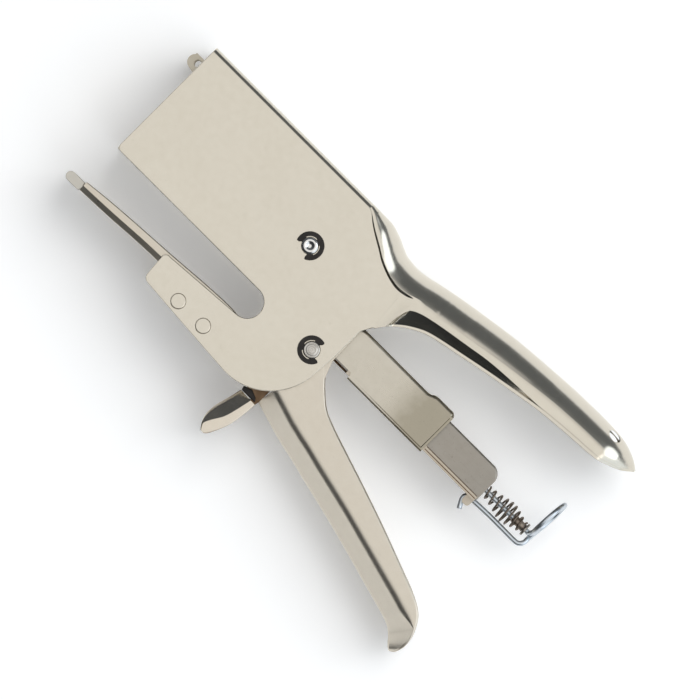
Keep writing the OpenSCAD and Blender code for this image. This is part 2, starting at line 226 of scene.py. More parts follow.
def join(name, parts):
    """One mesh from the parts, each with its own material where it has one."""
    mesh = bpy.data.meshes.new(name)
    bm = bmesh.new()
    for p in parts:
        first = len(bm.faces)
        bm.from_mesh(p.data)
        bm.faces.ensure_lookup_table()
        if p.data.materials:
            if p.data.materials[0] not in list(mesh.materials):
                mesh.materials.append(p.data.materials[0])
            for face in bm.faces[first:]:
                face.material_index = list(mesh.materials).index(p.data.materials[0])
    bm.to_mesh(mesh)
    bm.free()
    for p in parts:
        bpy.data.objects.remove(p)
    return new_object(name, mesh)


def loft(name, rings, caps=True):
    """Skin through rings of points, and a face over each end."""
    m = len(rings[0])
    verts = [v for r in rings for v in r]
    faces = [(j * m + i, j * m + (i + 1) % m, (j + 1) * m + (i + 1) % m, (j + 1) * m + i)
             for j in range(len(rings) - 1) for i in range(m)]
    if caps:
        faces += [tuple(range(m - 1, -1, -1)), tuple((len(rings) - 1) * m + i for i in range(m))]
    return from_faces(name, verts, faces)


def solid(name, rings):
    """Closed solid through rings of points, with its faces outwards."""
    return outward(loft(name, rings))


def lathe(name, profile, x, y, n):
    """Turns (radius, z) points round a line along Z."""
    turn = [2 * math.pi * k / n for k in range(n)]
    rings = [[(x + r * math.cos(a), y + r * math.sin(a), z) for a in turn] for r, z in profile]
    return solid(name, rings)


def tube(name, points, r, sides):
    """Round wire along points, with softened ends."""
    pts = [Vector(p) for p in points]
    n = len(pts)
    tangents = [(pts[min(i + 1, n - 1)] - pts[max(i - 1, 0)]).normalized() for i in range(n)]
    u = tangents[0].orthogonal().normalized()
    turn = [2 * math.pi * k / sides for k in range(sides)]
    rings = []
    for i, (p, t) in enumerate(zip(pts, tangents)):
        u = (u - u.dot(t) * t).normalized()
        v = t.cross(u)

        def ring(scale, shift):
            return [p + shift * t + r * scale * (math.cos(a) * u + math.sin(a) * v) for a in turn]

        if i == 0:
            rings += [ring(0.55, 0), ring(0.9, 0.12 * r), ring(1, 0.45 * r)]
        elif i == n - 1:
            rings += [ring(1, -0.45 * r), ring(0.9, -0.12 * r), ring(0.55, 0)]
        else:
            rings.append(ring(1, 0))
    obj = solid(name, rings)
    obj.data.shade_smooth()
    obj.data.set_sharp_from_angle(angle=math.radians(50))
    return obj


def finish_piece(obj, material, slot, body, *nodes):
    if material:
        obj.data.materials.clear()
        obj.data.materials.append(material)
    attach(obj, body)
    if nodes:
        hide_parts(*nodes)
    return obj


def refined(node, width, material, slot, body):
    """The CAD piece again, with its edges rounded to width."""
    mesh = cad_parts[node].data.copy()
    obj = new_object(node + "_fine", mesh)
    bm = bmesh.new()
    bm.from_mesh(mesh)
    bmesh.ops.remove_doubles(bm, verts=bm.verts, dist=2e-6)
    bmesh.ops.dissolve_limit(bm, angle_limit=math.radians(0.4), verts=bm.verts, edges=bm.edges)
    bm.to_mesh(mesh)
    bm.free()
    soften(obj, width * 0.001, 2, 40, 32)
    return finish_piece(obj, material, slot, body, node)


# ---------------------------------------------------------------- materials
class Nodes:
    """Short hand for building a node tree."""

    def __init__(self, tree):
        self.tree = tree

    def add(self, kind, inputs=None, **settings):
        node = self.tree.nodes.new(kind)
        for key, value in settings.items():
            setattr(node, key, value)
        for key, value in (inputs or {}).items():
            if isinstance(value, bpy.types.NodeSocket):
                self.tree.links.new(value, node.inputs[key])
            else:
                node.inputs[key].default_value = value
        return node

    def ramp(self, fac, *stops):
        node = self.add("ShaderNodeValToRGB", {"Fac": fac})
        while len(node.color_ramp.elements) < len(stops):
            node.color_ramp.elements.new(0.5)
        for element, (at, value) in zip(node.color_ramp.elements, stops):
            element.position = at
            element.color = (value, value, value, 1) if isinstance(value, (int, float)) else (*value, 1)
        return node.outputs["Color"]

    def math(self, operation, a, b=0.0, c=0.0):
        return self.add("ShaderNodeMath", {0: a, 1: b, 2: c}, operation=operation).outputs[0]

    def turned(self, vector, degrees, scale):
        turn = (0, 0, math.radians(degrees))
        return self.add("ShaderNodeMapping", {"Vector": vector, "Rotation": turn, "Scale": scale}).outputs[0]

    def noise(self, vector, scale, detail=3.0, rough=0.55, distortion=0.0):
        return self.add("ShaderNodeTexNoise", {"Vector": vector, "Scale": scale, "Detail": detail,
                                               "Roughness": rough, "Distortion": distortion}).outputs[0]


def metal(name, color, rough, shade, grain=(500, 7000, 7000), turn=0.0, brushed=0.5, cloudy=0.10, pits=0.4,
          scratches=0.5, depth=0.000006, metallic=1.0, dark_reflection_from=None):
    """Metal with drawn grain, handling marks, fine scratches and pits.

    Its colour runs from color down to color times shade. Grain is the number of streaks per metre. From
    dark_reflection_from on along X, in metres, the colour is darkened as a painted dark reflection."""
    material = bpy.data.materials.new(name)
    material.use_nodes = True
    n = Nodes(material.node_tree)
    shader = material.node_tree.nodes["Principled BSDF"]
    at = n.add("ShaderNodeTexCoord").outputs["Object"]
    streaks = n.noise(n.turned(at, turn, grain), 1.0, 4.0, 0.65)
    clouds = n.noise(at, 55.0, 5.0, 0.6, 0.4)
    mottle = n.noise(at, 420.0, 4.0, 0.6)
    pit = n.ramp(n.noise(at, 2600.0, 2.0, 0.5), (0.66, 0.0), (0.78, 1.0))
    marks = []
    for angle, scale in ((38, (160, 5200, 900)), (-24, (110, 3800, 700)), (81, (140, 6100, 800))):
        line = n.noise(n.turned(at, angle + turn, scale), 1.0, 1.0, 0.4, 0.15)
        marks.append(n.ramp(line, (0.70, 0.0), (0.745, 1.0)))
    scratch = n.math("MAXIMUM", n.math("MAXIMUM", marks[0], marks[1]), marks[2])
    tone = n.math("ADD", n.math("MULTIPLY", clouds, 0.55), n.math("MULTIPLY", mottle, 0.45))
    mix = n.add("ShaderNodeMix", data_type="RGBA")
    n.tree.links.new(n.ramp(tone, (0.36, 0.0), (0.66, 1.0)), mix.inputs[0])
    mix.inputs[6].default_value = (*[c * s for c, s in zip(color, shade)], 1)
    mix.inputs[7].default_value = (*color, 1)
    plated = mix.outputs[2]
    if dark_reflection_from:
        # Painted dark reflection: the colour darkens along X from the given start. The ramp spans 0.25 m of X,
        # and the clouds fray its edge by about 8 mm
        x = n.add("ShaderNodeSeparateXYZ", {0: at}).outputs[0]
        edge = n.math("MULTIPLY_ADD", clouds, 0.010, n.math("MULTIPLY_ADD", mottle, 0.006, x))
        start = 0.5 + (dark_reflection_from + 0.008) * 4
        reflection_mask = n.ramp(n.math("MULTIPLY_ADD", edge, 4.0, 0.5), (start - 0.03, 0.0), (start + 0.014, 1.0))
        darkened = n.add("ShaderNodeMix", {0: reflection_mask}, data_type="RGBA")
        n.tree.links.new(plated, darkened.inputs[6])
        darkened.inputs[7].default_value = (*[c * k for c, k in zip(color, (0.63, 0.61, 0.56))], 1)
        plated = darkened.outputs[2]
    dull = n.add("ShaderNodeMix", {0: n.math("MULTIPLY", pit, pits * 0.55)}, data_type="RGBA")
    n.tree.links.new(plated, dull.inputs[6])
    dull.inputs[7].default_value = (*[c * 0.45 for c in color], 1)
    n.tree.links.new(dull.outputs[2], shader.inputs["Base Color"])
    gloss = n.math("MULTIPLY_ADD", clouds, cloudy * 2, rough - cloudy)
    gloss = n.math("MULTIPLY_ADD", streaks, brushed * 0.16, gloss)
    gloss = n.math("MULTIPLY_ADD", scratch, 0.10 * scratches, gloss)
    n.tree.links.new(n.math("MULTIPLY_ADD", pit, 0.2 * pits, gloss), shader.inputs["Roughness"])
    height = n.math("MULTIPLY_ADD", streaks, brushed, n.math("MULTIPLY", mottle, 0.1))
    height = n.math("MULTIPLY_ADD", scratch, -0.5 * scratches, height)
    height = n.math("MULTIPLY_ADD", pit, -0.9 * pits, height)
    bump = n.add("ShaderNodeBump", {"Strength": 0.7, "Distance": depth, "Height": height})
    n.tree.links.new(bump.outputs[0], shader.inputs["Normal"])
    shader.inputs["Metallic"].default_value = metallic
    return material


# Streaks per metre along X, Y and Z
EVEN = (3000, 3000, 3000)
FINE = (4000, 4000, 4000)
UPRIGHT = (7000, 600, 7000)
head_nickel = metal("head_nickel", (0.69, 0.645, 0.555), 0.15, (0.955, 0.95, 0.94), cloudy=0.05, brushed=0.35,
                    depth=0.000003)
lower_nickel = metal("lower_nickel", (0.71, 0.655, 0.56), 0.32, (0.95, 0.94, 0.93), turn=18, cloudy=0.06,
                     depth=0.000004)
spur_nickel = metal("spur_nickel", (0.72, 0.66, 0.565), 0.15, (0.95, 0.94, 0.93), grain=UPRIGHT)
# Dark brown used as painted shade, on the finger rest's necks and in the magazine base's gap and scored lines
painted_shade_brown = metal("painted_shade_brown", (0.20, 0.135, 0.085), 0.3, (0.5, 0.45, 0.4), grain=UPRIGHT, cloudy=0.12)
# The cover's colour is darkened towards its rear end as a painted dark reflection
magazine_nickel = metal("magazine_nickel", (0.63, 0.59, 0.505), 0.27, (0.92, 0.91, 0.90), cloudy=0.12, pits=0.8,
                        scratches=0.8, dark_reflection_from=0.0285)
base_nickel = metal("base_nickel", (0.56, 0.505, 0.425), 0.28, (0.88, 0.85, 0.8), pits=0.6)
rail_nickel = metal("rail_nickel", (0.40, 0.37, 0.325), 0.38, (0.92, 0.91, 0.90), cloudy=0.12, pits=1.0,
                    scratches=1.0)
arm_nickel = metal("arm_nickel", (0.68, 0.625, 0.53), 0.28, (0.94, 0.93, 0.92))
pin_bright = metal("pin_bright", (0.80, 0.79, 0.765), 0.12, (0.94, 0.94, 0.94), grain=EVEN, brushed=0.3)
pin_turned = metal("pin_turned", (0.66, 0.635, 0.59), 0.26, (0.86, 0.85, 0.84), grain=EVEN, brushed=0.7)
# Black oxide of the clips, also used as painted shade on the bridge between the finger rest's necks
black_oxide_and_shade = metal("black_oxide_and_shade", (0.045, 0.041, 0.038), 0.42, (0.6, 0.6, 0.6), cloudy=0.12, brushed=0.8,
                   pits=1.0, metallic=0.75)
zinc = metal("zinc", (0.66, 0.70, 0.735), 0.27, (0.84, 0.86, 0.88), grain=(700, 9000, 9000), cloudy=0.12,
             pits=0.7)
spring_brown = metal("spring_brown", (0.25, 0.205, 0.165), 0.36, (0.7, 0.68, 0.66), grain=FINE, pits=0.7)
sleeve_brown = metal("sleeve_brown", (0.36, 0.30, 0.25), 0.38, (0.8, 0.78, 0.76), grain=(4000, 900, 4000),
                     pits=0.7)
collar_steel = metal("collar_steel", (0.42, 0.38, 0.34), 0.30, (0.85, 0.84, 0.82), grain=FINE)
hard_steel = metal("hard_steel", (0.61, 0.585, 0.525), 0.30, (0.9, 0.9, 0.9), grain=(6000, 500, 6000))
lever_steel = metal("lever_steel", (0.50, 0.46, 0.38), 0.26, (0.86, 0.85, 0.83), grain=EVEN, pits=0.7)
grey_steel = metal("grey_steel", (0.44, 0.425, 0.40), 0.34, (0.88, 0.88, 0.88), grain=EVEN)


# ---------------------------------------------------------------- frame: head and fixed handle
# Down the front, along the lower edge, round throat and jaw, up behind the handle pin, and along the crease
head_line = ([(-81.1, 42.4)] + arc((-79.6, 3), 1.5, 180, 270, 8) + arc((-23, -3.3), 4.8, 90, -90, 28)
             + [(-47.6, -9.9)] + arc((-48.2, -11.4), 1.5, 80, 180, 8) + arc((-47.2, -17.8), 2, 182, 266, 8)
             + [(-30, -21.1)] + arc((-13, -3.7), 18.5, -92, -4, 32) + [(6, 3)]
             + [(v.x, v.y) for v in spline([(6.1, 13.5, 0), (8, 17, 0), (10, 19.4, 0)], 6)]
             + [(10, 30.6), (5, 29.9), (-1, 31.4), (-7, 34.6), (-11, 37.2), (-13.6, 39.2), (-14.3, 42.4)])
head = prism("frame_shell_fine", head_line, -HALF, HALF)
roll(head, lambda p: p.y > 42.3, 2.5, 12)
section = [(-60, -INNER), (-60, INNER)]
section += [(39.9 + y, z + math.copysign(8.6, z)) for z, y in arc((0, 0), 1.3, 0, 180, 12)]
head = cut(head, solid("hollow", [[(x, y, z) for y, z in section] for x in (-100, 40)]))
for axis in (LEVER_PIN, HANDLE_PIN):
    head = drill(head, *axis, PIN_HOLE)
for axis in RIVETS:
    head = drill(head, *axis, RIVET_HOLE)
soften(head, 0.45, 5, 50, 25, 0.3)

# The fixed handle along x: y of its top, of the crease with the head and of its edge, half-width, half-width
# of the flat top, height of the rounded shoulder, half-width below the crease, and the tuck's y and depth. Its
# own edge begins at EDGE_FROM and the tuck at TUCK_FROM, and the crease ends at CREASE_TO.
EDGE_FROM, TUCK_FROM, CREASE_TO = 7, 8, 19
top_y = along([(-17, 42.38), (-14, 42.41), (-10, 42.42), (-5, 41.2), (-2, 39.8), (1, 38.7), (5, 38.35),
               (9, 38.8), (12.5, 39.6), (20, 41.1), (30, 42.7), (41, 44.2), (52, 45.1), (63.5, 45.8),
               (73, 46), (78, 45.9), (82.4, 45.5), (87, 44.1), (89.5, 42.8), (91, 41.6)])
crease_y = along([(-17, 41), (-15.5, 40.2), (-13, 38.5), (-10, 36.7), (-7, 35), (-4, 33.2), (-1, 31.9),
                  (2, 31), (5, 30.6), (8, 31), (10, 31.7), (12.5, 32.5), (15, 32.7), (19, 33)])
edge_y = along([(7, 27.5), (8, 17), (10, 19.4), (12.5, 21.9), (15, 23.8), (20, 26.4), (25, 27.7), (30, 28.7),
                (40, 30.7), (50, 32.5), (60, 34.1), (70, 35), (80, 35.7), (85, 37.2), (88, 38.6), (90.5, 40.5),
                (91, 40.8)])
half_width = along([(-17, 11.0), (-15.5, 11.14), (-13, 11.6), (-10, 12.1), (-4, 12.5), (2, 12.6),
                    (10, 12.55), (14, 12.4), (20, 12.45), (26, 12.6), (45, 12.5), (60, 12.3), (72, 12.0),
                    (80, 11.3), (84, 9.7), (87, 7.4), (89.5, 4.8), (90.6, 3), (91, 2.1)])
flat_z = along([(-17, 9.5), (-15.5, 9.0), (-10, 5.4), (-4, 2.6), (2, 2), (80, 2), (87, 1.4), (91, 0.5)])
round_y = along([(-17, 1.6), (-15.5, 2.3), (-10, 6.8), (-4, 10), (2, 11.6), (8, 12.6), (20, 13), (70, 13),
                 (80, 11.5), (86, 8.5), (91, 3)])
plate_z = along([(-17, 10.7), (0, 11.05), (3, 11.085), (6, 11.095), (10, 11.3), (13, 11.6), (16, 12.0),
                 (20, 12.3), (26, 12.6)])
tuck_y = along([(8, 17.4), (10.3, 20.1), (10.8, 24.2), (12, 28), (15, 29.6), (18, 30.4), (22, 31.2), (30, 32.5),
                (40, 34), (50, 34.6), (58, 34.9), (66, 35.3), (80, 36.4), (88, 39.3), (91, 41.2)])
tuck_z = along([(8, 0), (10.3, 0.02), (10.8, 2.2), (12, 3.2), (15, 3.4), (20, 2.9), (30, 2.4), (40, 2.0),
                (50, 1.3), (58, 0.5), (66, 0.15), (91, 0.1)])


def handle_section(x):
    """Outer points (y, z, outward normal) of the fixed handle from its top down, and the y of its edge."""
    top, w, f, b = top_y(x), half_width(x), flat_z(x), round_y(x)
    low = edge_y(x) if x > EDGE_FROM else crease_y(x) - 3
    creased = 1 - step(x, 11, 18)
    seam = crease_y(x) if x < CREASE_TO else top - 0.6 * (top - low)
    blend = step(x, EDGE_FROM, 15)
    b = min(b, 0.97 * (top - low)) if x > 12 else b

    def oval(y):
        c = min(max(1 - (top - y) / b, 0), 1)
        return f + (w - f) * math.sqrt(1 - c * c)

    def lower(y):
        return (1 - blend) * plate_z(x) + blend * oval(y)

    # The shoulder, round from the flat top to the seam
    out = []
    reach = math.acos(max(1 - (top - seam) / b, 0))
    for k in range(19):
        a = reach * k / 18
        y, z = top - b * (1 - math.cos(a)), f + (w - f) * math.sin(a)
        normal = Vector((math.cos(a) * (w - f), math.sin(a) * b)).normalized()
        out.append((y, z, normal.x, normal.y))
    if f > 0.3:
        out = [(top, f * k / 3, 1.0, 0.0) for k in range(3)] + out
    # The step down to the plate, where there is a crease
    last = out[-1][0]
    gap = 0.95 * creased
    for k in (0.1, 0.22, 0.36, 0.5, 0.64, 0.78, 0.9, 1.0):
        y = last - max(gap, 0.08) * k
        s = step(k, 0, 1)
        out.append((y, (1 - s) * oval(y) + s * lower(y), 0, 1))
    # The side, down to the fold
    start = out[-1][0]
    fold = max(tuck_y(x), low + 0.3) if x > TUCK_FROM else low + 1.2
    fold = max(min(fold, start - 0.4), low + 1.0)
    for k in range(1, 9):
        y = start + (fold - start) * k / 8
        out.append((y, lower(y), 0, 1))
    # The tucked-in strip below the fold
    drop = tuck_z(x) if x > TUCK_FROM else 0
    drop = min(drop, 0.6 * out[-1][1])
    wide = max(fold - low, 1.0)
    for k in (0.06, 0.15, 0.4, 0.7, 1.0):
        y = fold - (wide - 0.9) * k
        out.append((y, lower(y) - drop * k, -0.2 * min(drop, 1), 0.98))
    out.append((low + 0.36, out[-1][1], 0, 1))
    return out, low


def handle_ring(x):
    """Whole section of the sheet at x."""
    outer, low = handle_section(x)
    t = min(SHEET, 0.55 * outer[-1][1], 0.45 * (outer[0][0] - low))
    z = outer[-1][1]
    r = min(0.35, t * 0.4)
    half = [(a, b) for a, b, _, _ in outer] + [(low + 0.1, z - 0.04 * r), (low, z - r)]
    back = [(low, z - t + r), (low + 0.1, z - t + 0.04 * r)]
    for a, b, ny, nz in reversed(outer):
        back.append((min(a - ny * t, outer[0][0] - t), max(b - nz * t, 0.0)))
    right = half + back
    return [Vector((x, a, b)) for a, b in right] + [Vector((x, a, -b)) for a, b in reversed(right)]


def evenly(start, gap, count):
    return [start + gap * i for i in range(count)]


grip_xs = evenly(-17, 0.6, 40) + [7.0, 7.6, 8.0, 8.6, 9.2, 9.8, 10.3, 10.5, 10.65, 10.8, 11, 11.4]
grip_xs += evenly(12, 0.7, 23) + evenly(28, 2.0, 26) + evenly(79.5, 0.75, 11)
grip_xs += [87.5, 88.2, 88.8, 89.3, 89.7, 90.1, 90.45, 90.75, 91.0]
grip = outward(loft("grip", [handle_ring(x) for x in grip_xs]), merge=1e-4)
# The two holes punched through the shoulders at the tip
for side in (1, -1):
    axis = Vector((0, 1, side)).normalized()
    centre = Vector((79.7, 44.4, side * 6.8))
    u, v = 2.1 * Vector((1, 0, 0)), 2.1 * axis.cross(Vector((1, 0, 0)))
    turn = [a * math.pi / 20 for a in range(40)]
    grip = cut(grip, solid("punch", [[centre + axis * d + math.cos(a) * u + math.sin(a) * v for a in turn]
                                     for d in (-3.2, 3)]))
soften(grip, 0, 1, 50, 24)
frame_fine = place(join("frame_shell_fine", [head, grip]))
finish_piece(frame_fine, head_nickel, "nickel_plate", "frame", "frame_shell")


# ---------------------------------------------------------------- lower handle and finger rest
def formed_shell(name, rows, section, t, rim=0.8):
    """Open channel of sheet t thick through rows (outer x, outer y, edge x, edge y, half-width, ...).

    At each row, section gives points (distance from the edge, z, outward normal), after a rounded rim."""
    rings = []
    widest = max(row[4] for row in rows)
    for row in rows:
        outer, edge = Vector((row[0], row[1], 0)), Vector((row[2], row[3], 0))
        length = (outer - edge).length
        d = (outer - edge) / length
        w = row[4]
        thick = min(t, 0.45 * w, 0.3 * length)
        r = min(rim, 0.8 * thick, 0.3 * length) * min(1, (w / widest) ** 4)
        path = [(r * (1 - math.sin(a)), w - r * (1 - math.cos(a)), -math.sin(a), math.cos(a))
                for a in (math.radians(90 - 15 * k) for k in range(7))]
        path += section(length, w, r, row)
        half = [(s, z) for s, z, _, _ in path]
        back = [(max(s - ns * thick, 0.05 if i else 0.0), max(z - nz * thick, 0.0))
                for i, (s, z, ns, nz) in enumerate(path)]
        back = [(s, z) for s, z in back if s > r * 0.9]
        while len(back) < len(path):
            back.insert(0, (0.12 * thick, w - thick))
        back = [(min(s, length - thick), z) for s, z in back]
        right = list(reversed(half)) + back
        mirrored = [(s, -z) for s, z in reversed(right)]
        rings.append([edge + d * s + Vector((0, 0, z)) for s, z in right + mirrored])
    return outward(loft(name, rings), merge=1e-4)


def bent_section(crease, tilt, bend, nose):
    """Flat side, a bend, a slope at tilt degrees from crease on, and a nose round the outer side.

    Crease is a distance from the outer side, or a function that gives it for a row."""
    def section(length, w, r, row):
        k = w / LOWER_HALF
        a1 = math.radians(tilt)
        c = min(crease(row) if callable(crease) else crease, length - r - 0.05)
        start = length - c
        b = min(bend, 0.5 * c, 0.08 + 1.6 * max(start - r, 0))
        out = [(r + (start - r) * i / 5, w, 0, 1) for i in range(1, 5)]
        for i in range(7):
            a = a1 * i / 6
            out.append((start + b * math.sin(a), w - k * b * (1 - math.cos(a)), math.sin(a), math.cos(a)))
        n = min(nose, 0.5 * c, 0.4 * w)
        s0, z0 = out[-1][0], out[-1][1]
        s1 = length - n * (1 - math.sin(a1))
        z1 = max(z0 - k * (s1 - s0) * math.tan(a1), n * math.cos(a1) + 0.05)
        out += [(s0 + (s1 - s0) * i / 4, z0 + (z1 - z0) * i / 4, math.sin(a1), math.cos(a1))
                for i in range(1, 4)]
        for i in range(7):
            a = a1 + (math.pi / 2 - a1) * i / 6
            out.append((s1 + n * (math.sin(a) - math.sin(a1)), z1 - n * (math.cos(a1) - math.cos(a)),
                        math.sin(a), math.cos(a)))
        end = out[-1][1]
        return out + [(length, end * f, 1, 0) for f in (0.6, 0.25)]
    return section


lower_rows = spline([
    (-0.4, -21.7, 3.4, 1.8, LOWER_HALF), (6, -23.6, 7.9, -2.3, LOWER_HALF),
    (10, -24.8, 10.6, -5.1, LOWER_HALF), (15, -26, 15.3, -9.1, LOWER_HALF),
    (20, -27.1, 20.3, -11.3, LOWER_HALF), (25, -28.4, 25.6, -13.1, LOWER_HALF),
    (38, -31.5, 38.8, -17.4, LOWER_HALF), (50, -34.7, 51, -21.6, LOWER_HALF),
    (60, -37.5, 62.5, -25.9, LOWER_HALF),
    (67, -39.4, 71, -29.2, 9.65), (71.6, -41, 76, -32.3, 9.5), (74.2, -43, 78.9, -37, 9.0),
    (75.6, -44.6, 79.7, -41, 7.8), (76.6, -45.5, 79.4, -43.4, 6.0), (77.4, -45.9, 78.8, -45, 3.6)], 6)
lower = formed_shell("lower", lower_rows, bent_section(7.6, 50, 3.5, 2.2), 1.0)
soften(lower, 0, 1, 50, 40)
cheeks = []
for side in (1, -1):
    z0, z1 = sorted((side * CHEEK_IN, side * CHEEK_OUT))
    plate = [(-5.6, -12), (-6, -8)] + arc(HANDLE_PIN, 6, 185, 130, 8)
    plate += [(-4.2, 7)] + arc(STUD, 4.2, 165, 10, 16) + [(6.6, 2), (8.6, -3.4), (8.8, -12.5), (2, -12)]
    cheek = prism("cheek", plate, z0, z1)
    cheek = drill(drill(cheek, *HANDLE_PIN, PIN_HOLE), *STUD, STUD_HOLE)
    cheeks.append(soften(cheek, 0.15, 2, 50, 30))
lower = place(join("lower_handle_fine", [lower] + cheeks))
finish_piece(lower, lower_nickel, "lower_nickel", "lower_handle_body", "lower_handle")

# The last number of each row is the width of its slope
spur_rows = spline([
    (-6.4, -22.7, -0.3, -22.9, 7.1, 4.4), (-7.5, -27, -0.6, -27, 7.15, 4.6),
    (-8.5, -31, -1.3, -31.5, 7.1, 4.4), (-8.7, -34.3, -2.5, -35, 7.05, 2.7),
    (-8.0, -36.8, -3.7, -37.5, 6.95, 0.9), (-7.2, -38.2, -4.4, -38.6, 6.85, 0.5),
    (-6.5, -39.1, -5.1, -39.2, 6.75, 0.35)], 7)
spur = formed_shell("spur", spur_rows, bent_section(lambda row: row[5], 36, 0.3, 3.0), 1.1, 0.4)
soften(spur, 0.28, 3, 62, 34)
necks = []
neck_line = [(-5.8, -22.5), (-2.4, -22.5), (-2.3, -24.4), (-0.7, -24.4), (-0.1, -21.5), (-0.1, -10),
             (-4.6, -10)]
for z0, z1 in ((4.9, 5.95), (-5.95, -4.9)):
    necks.append(soften(prism("neck", neck_line, z0, z1), 0.2, 3, 50, 30))
# A bridge between the necks, coloured black as painted shade of the gap between the head and the finger rest
dark_shade_bridge = prism("dark_shade_bridge", [(-6.2, -22.5), (-0.8, -22.5), (-1.6, -21.3), (-4, -20.3), (-6.6, -21.3)], -6.2, 6.2)
necks.append(soften(dark_shade_bridge, 0.3, 4, 50, 30))
spur.data.materials.append(spur_nickel)
# The necks are coloured dark brown as painted shade of the recess under the head
for neck, shade_colour in zip(necks, (painted_shade_brown, painted_shade_brown, black_oxide_and_shade)):
    neck.data.materials.append(shade_colour)
spur = place(join("finger_rest_fine", [spur] + necks))
finish_piece(spur, None, "lower_nickel", "lower_handle_body", "finger_rest")

# ---------------------------------------------------------------- pins, clips and rivets
for name, (x, y), domed in (("lever_pin", LEVER_PIN, True), ("handle_pin", HANDLE_PIN, False)):
    # Head, shank and the groove for the ring, as (radius, z)
    profile = [(0.05, -12.6), (2.9, -12.6), (3.3, -12.52), (3.52, -12.35), (3.6, -12.1), (3.6, -11.5),
               (3.55, -11.3), (3.4, -11.16), (2.4, -11.16), (2.4, 11.2), (1.8, 11.22), (1.8, 12.08),
               (2.3, 12.1), (2.4, 12.18)]
    if domed:
        profile += [(2.36, 12.22), (2.2, 12.36), (2.0, 12.49), (1.8, 12.565), (1.6, 12.6), (1.4, 12.57),
                    (1.1, 12.43), (0.75, 12.24), (0.4, 12.11), (0.1, 12.07)]
    else:
        profile += [(2.38, 12.34), (2.25, 12.47), (2.1, 12.5), (1.95, 12.5), (1.86, 12.42), (1.7, 12.42),
                    (1.6, 12.5), (1.2, 12.53), (1.12, 12.46), (0.95, 12.46), (0.86, 12.54), (0.4, 12.57),
                    (0.33, 12.5), (0.08, 12.5)]
    pin = lathe(name + "_fine", profile, x, y, 72)
    pin.data.shade_smooth()
    pin.data.set_sharp_from_angle(angle=math.radians(35))
    finish_piece(place(pin), pin_bright if domed else pin_turned, "pin_steel", "frame", name)

# Three lugs grip the pin; the gap of each ring lies at angle opening
RING_BOTTOM, RING_TOP = 11.26, 12.04
rings = []
for (x, y), opening in ((LEVER_PIN, 246), (HANDLE_PIN, 25)):
    line = [(4.2, a) for a in range(48, 313, 6)] + [(4.0, 315.5), (3.4, 316.5)]
    for lug in (292, 180, 68):
        if lug != 292:
            line += [(2.85, a) for a in range(lug + 86, lug + 18, -8)]
        line += [(2.75, lug + 19), (2.3, lug + 22), (1.92, lug + 23), (1.82, lug + 12), (1.82, lug - 12),
                 (1.92, lug - 23), (2.3, lug - 22), (2.75, lug - 19)]
    line += [(3.4, 43.5), (4.0, 44.5)]
    line = [(r, math.radians(a + opening)) for r, a in line]
    ring = prism("ring", [(x + r * math.cos(a), y + r * math.sin(a)) for r, a in line], RING_BOTTOM, RING_TOP)
    rings.append(soften(ring, 0.13, 3, 40, 30))
finish_piece(place(join("retaining_clips_fine", rings)), black_oxide_and_shade, "black_oxide", "frame", "retaining_clips")

rivets = []
for x, y in RIVETS:
    profile = [(0.05, -11.2), (1.5, -11.2), (1.95, -11.18), (2.14, -11.1), (2.16, -11.0), (2.16, 11.0),
               (2.14, 11.1), (1.95, 11.17), (1.2, 11.19), (0.05, 11.19)]
    rivets.append(lathe("rivet", profile, x, y, 64))
rivets = join("anvil_rivets_fine", rivets)
rivets.data.shade_smooth()
rivets.data.set_sharp_from_angle(angle=math.radians(40))
finish_piece(place(rivets), head_nickel, "nickel_plate", "frame", "anvil_rivets")


# ---------------------------------------------------------------- anvil
arm_top = along([(-80.2, -11.6), (-70, -10.6), (-50, -9.3), (-24, -7.8), (-21, -8.6)])
arm_low = along([(-80.2, -14.8), (-70, -14.4), (-54, -13.5), (-49.5, -13.4), (-48, -15), (-44, -19.2),
                 (-24, -20.6), (-21, -19.5)])


def arm_ring(x):
    """Channel with its flanges down, whose lower edges lean in where the arm is free."""
    high, low = arm_top(x), arm_low(x)
    lean = 0.66 * (1 - step(x, -49.5, -47))
    lip = 1.45 * (1 - step(x, -49.5, -47)) + 0.3
    edge = ARM_HALF - lean
    side = [(low + 0.1, edge - 0.9), (low, edge - 0.65), (low, edge - 0.2), (low + 0.12, edge - 0.02),
            (low + lip - 0.08, 9.8), (low + lip + 0.08, ARM_HALF), (high - 0.45, ARM_HALF),
            (high - 0.26, 9.8), (high - 0.12, 9.68), (high, 9.3), (high, 4), (high, 0.05)]
    back = [(high - 1.4, 0.05), (high - 1.4, 8.1), (high - 1.75, ARM_IN), (low + lip, ARM_IN),
            (low + 0.2, ARM_IN - lean)]
    right = list(reversed(side)) + list(reversed(back))
    return [Vector((x, y, z)) for y, z in right] + [Vector((x, y, -z)) for y, z in reversed(right)]


arm_xs = evenly(-80.2, 1.5, 20) + evenly(-50.5, 0.5, 10) + evenly(-45, 2, 12) + [-21.6, -21]
arm = outward(loft("arm", [arm_ring(x) for x in arm_xs]), merge=1e-4)
arm = cut(arm, prism("open_end", [(-24.5, -40), (-20, -40), (-20, 0), (-24.5, 0)], -8.4, 8.4))
for z in (3.6, -3.6):
    arm = cut(arm, prism("clinch", [(-79.6, -12.4), (-78.2, -12.4), (-78.2, -10), (-79.6, -10)], z - 3, z + 3))
for axis in RIVETS:
    arm = drill(arm, *axis, RIVET_HOLE)
soften(arm, 0.0, 1, 50, 24)
finish_piece(place(join("anvil_arm_fine", [arm])), arm_nickel, "nickel_plate", "frame", "anvil_arm")

tongue = ([(-66, -13.2), (-80.3, -13.2), (-80.4, -12.2), (-84.8, -12.2)] + arc((-84.8, -13.7), 1.5, 90, 270, 16)
          + [(-80.7, -15.2), (-80.35, -14.5), (-66, -14.25)])
tongue = soften(prism("anvil_plate_fine", tongue, -8.35, 8.35), 0.3, 4, 40, 30)
finish_piece(place(tongue), hard_steel, "tool_steel", "frame", "anvil_plate")


